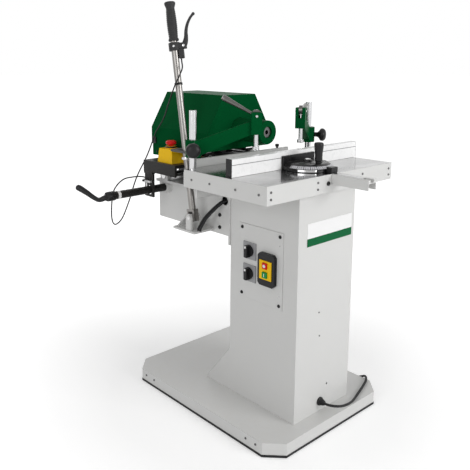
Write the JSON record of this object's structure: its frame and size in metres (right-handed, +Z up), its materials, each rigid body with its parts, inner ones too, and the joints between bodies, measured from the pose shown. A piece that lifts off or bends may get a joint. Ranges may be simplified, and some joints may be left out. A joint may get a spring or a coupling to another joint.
{
  "type": "horizontal slot mortiser",
  "caption": "Free-standing woodworking slot mortiser: grey pedestal, ground table with mitre fence and cam clamps, green drilling head on cross slides moved by one tall lever.",
  "frame": {"origin": "centre of the underside of the base, on the floor", "axes": "+Z up; +X along the table; -Y faces the operator and +Y runs towards the motor"},
  "size_m": [1.0489, 0.9379, 1.4713],
  "materials": {
    "grey_paint": "satin light grey paint",
    "green_paint": "semi-gloss green paint",
    "black_paint": "satin black paint",
    "ground_steel": "ground steel",
    "steel": "bright steel",
    "chrome": "polished chrome",
    "white_alu": "white lacquered extrusion",
    "dark_iron": "dark cast iron",
    "rubber": "black rubber",
    "black_plastic": "black plastic",
    "grey_plastic": "grey plastic",
    "yellow_plastic": "yellow plastic",
    "red_plastic": "red plastic",
    "green_plastic": "green plastic"
  },
  "bodies": {
    "frame": {"base_plinth": "grey_paint", "base_mat": "rubber", "screws": "steel", "column_body": "grey_paint", "control_panel": "grey_paint", "selector_plates": "grey_plastic", "magnetic_switch": "black_plastic", "switch_face": "yellow_plastic", "mains_gland": "black_plastic", "mains_cord": "rubber", "mains_plug": "rubber", "head_beam": "grey_paint", "lever_bracket": "grey_paint", "rail_bed": "grey_paint", "x_rods": "steel", "table_frame": "grey_paint", "table_plate": "ground_steel", "table_skirt": "grey_paint", "guide_channel": "grey_paint", "clamp_posts": "chrome", "control_leads": "rubber"},
    "cross_carriage": {"carriage": "black_paint", "x_bushes": "dark_iron", "y_rods": "steel", "estop_box": "yellow_plastic", "latch_bracket": "black_paint", "bowden_cable": "rubber"},
    "head": {"motor_plate": "dark_iron", "motor": "dark_iron", "hood": "green_paint", "hood_skirts": "green_paint", "spindle_nose": "green_paint", "spindle_bearings": "steel"},
    "spindle": {"spindle_shaft": "steel", "chuck": "steel"},
    "estop": {"estop_button": "red_plastic"},
    "pawl": {"latch_pawl": "steel"},
    "gimbal": {"gimbal_block": "steel"},
    "lever": {"lever_tube": "chrome", "lever_grip": "rubber", "squeeze_bracket": "black_plastic"},
    "squeeze": {"squeeze_lever": "black_plastic"},
    "index": {"index_bar": "black_paint", "bar_handle": "black_plastic"},
    "mitre_bar": {"mitre_bar": "steel"},
    "mitre": {"mitre_head": "black_paint", "fence": "white_alu"},
    "mitre_lock": {"mitre_handle": "black_plastic"},
    "selector_upper": {"selector_knob_upper": "black_plastic"},
    "selector_lower": {"selector_knob_lower": "black_plastic"},
    "start": {"start_button": "green_plastic"},
    "stop": {"stop_button": "red_plastic"},
    "clamp_left": {"clamp_arm_left": "green_paint"},
    "knob_left": {"clamp_knob_left": "black_plastic"},
    "cam_left": {"clamp_cam_left": "chrome"},
    "rod_left": {"clamp_rod_left": "chrome"},
    "clamp_right": {"clamp_arm_right": "green_paint"},
    "knob_right": {"clamp_knob_right": "black_plastic"},
    "cam_right": {"clamp_cam_right": "chrome"},
    "rod_right": {"clamp_rod_right": "chrome"}
  },
  "joints": [
    {"name": "x_slide", "type": "slide", "parent": "frame", "child": "cross_carriage", "axis": [1, 0, 0], "range_m": [-0.03, 0.05], "deforming": ["bowden_cable"]},
    {"name": "y_slide", "type": "slide", "parent": "cross_carriage", "child": "head", "axis": [0, 1, 0], "range_m": [-0.08, 0], "deforming": ["bowden_cable"]},
    {"name": "spindle_spin", "type": "hinge", "parent": "head", "child": "spindle", "pos_m": [0, 0.05, 1.008], "axis": [0, 1, 0], "continuous": true},
    {"name": "estop_press", "type": "slide", "parent": "cross_carriage", "child": "estop", "axis": [0, 0, -1], "range_m": [0, 0.004], "stiffness_N_per_m": 600},
    {"name": "latch_lift", "type": "hinge", "parent": "cross_carriage", "child": "pawl", "pos_m": [-0.253, 0.358, 0.805], "axis": [1, 0, 0], "range_deg": [-19, 0]},
    {"name": "lever_fore_aft", "type": "hinge", "parent": "frame", "child": "gimbal", "pos_m": [-0.218, 0.107, 0.7], "axis": [1, 0, 0], "range_deg": [-1, 20]},
    {"name": "lever_side", "type": "hinge", "parent": "gimbal", "child": "lever", "pos_m": [-0.218, 0.107, 0.7], "axis": [0, 0.9866, -0.1633], "range_deg": [-8, 13]},
    {"name": "squeeze", "type": "hinge", "parent": "lever", "child": "squeeze", "pos_m": [-0.19396, 0.18438, 1.3146], "axis": [0.7071, 0.6976, -0.1155], "range_deg": [-14, 0], "stiffness_Nm_per_rad": 0.8},
    {"name": "index_turn", "type": "hinge", "parent": "frame", "child": "index", "pos_m": [-0.2, 0.338, 0.77], "axis": [1, 0, 0], "range_deg": [-90, 90]},
    {"name": "mitre_slide", "type": "slide", "parent": "frame", "child": "mitre_bar", "axis": [0, 1, 0], "range_m": [-0.12, 0.02]},
    {"name": "mitre_swing", "type": "hinge", "parent": "mitre_bar", "child": "mitre", "pos_m": [0, -0.238, 0.905], "axis": [0, 0, 1], "range_deg": [-35, 35]},
    {"name": "mitre_lock_turn", "type": "hinge", "parent": "mitre_bar", "child": "mitre_lock", "pos_m": [0, -0.284, 0.95], "axis": [0, 0, 1], "range_deg": [-90, 90]},
    {"name": "selector_upper_turn", "type": "hinge", "parent": "frame", "child": "selector_upper", "pos_m": [-0.16, -0.118, 0.614], "axis": [-1, 0, 0], "range_deg": [-60, 60]},
    {"name": "selector_lower_turn", "type": "hinge", "parent": "frame", "child": "selector_lower", "pos_m": [-0.16, -0.118, 0.533], "axis": [-1, 0, 0], "range_deg": [-60, 60]},
    {"name": "start_press", "type": "slide", "parent": "frame", "child": "start", "axis": [1, 0, 0], "range_m": [0, 0.003], "stiffness_N_per_m": 400},
    {"name": "stop_press", "type": "slide", "parent": "frame", "child": "stop", "axis": [1, 0, 0], "range_m": [0, 0.003], "stiffness_N_per_m": 400},
    {"name": "clamp_left_swing", "type": "hinge", "parent": "frame", "child": "clamp_left", "pos_m": [-0.3, 0.01, 0.972], "axis": [0, 0, 1], "range_deg": [-110, 20]},
    {"name": "clamp_left_knob_turn", "type": "hinge", "parent": "clamp_left", "child": "knob_left", "pos_m": [-0.33214, -0.0283, 0.972], "axis": [-0.6428, -0.766, 0], "range_deg": [-90, 180]},
    {"name": "clamp_left_cam_turn", "type": "hinge", "parent": "clamp_left", "child": "cam_left", "pos_m": [-0.1376, -0.12627, 1.081], "axis": [0.6428, 0.766, 0], "range_deg": [0, 120]},
    {"name": "clamp_left_rod_slide", "type": "slide", "parent": "clamp_left", "child": "rod_left", "axis": [0, 0, -1], "range_m": [0, 0.0076]},
    {"name": "clamp_right_swing", "type": "hinge", "parent": "frame", "child": "clamp_right", "pos_m": [0.3, 0.01, 0.972], "axis": [0, 0, 1], "range_deg": [0, 110]},
    {"name": "clamp_right_knob_turn", "type": "hinge", "parent": "clamp_right", "child": "knob_right", "pos_m": [0.3265, -0.0324, 0.972], "axis": [0.5299, -0.848, 0], "range_deg": [-90, 180]},
    {"name": "clamp_right_cam_turn", "type": "hinge", "parent": "clamp_right", "child": "cam_right", "pos_m": [0.12021, -0.10234, 1.081], "axis": [0.5299, -0.848, 0], "range_deg": [0, 120]},
    {"name": "clamp_right_rod_slide", "type": "slide", "parent": "clamp_right", "child": "rod_right", "axis": [0, 0, -1], "range_m": [0, 0.0076]}
  ],
  "couplings": [
    {"joint": "lever_fore_aft", "follows": "y_slide", "rad_per_m": -4.1841},
    {"joint": "lever_side", "follows": "x_slide", "rad_per_m": 4.1841},
    {"joint": "latch_lift", "follows": "squeeze", "ratio": 1.286},
    {"joint": "clamp_left_rod_slide", "follows": "clamp_left_cam_turn", "m_per_rad": 0.00358},
    {"joint": "clamp_right_rod_slide", "follows": "clamp_right_cam_turn", "m_per_rad": 0.00358}
  ]
}
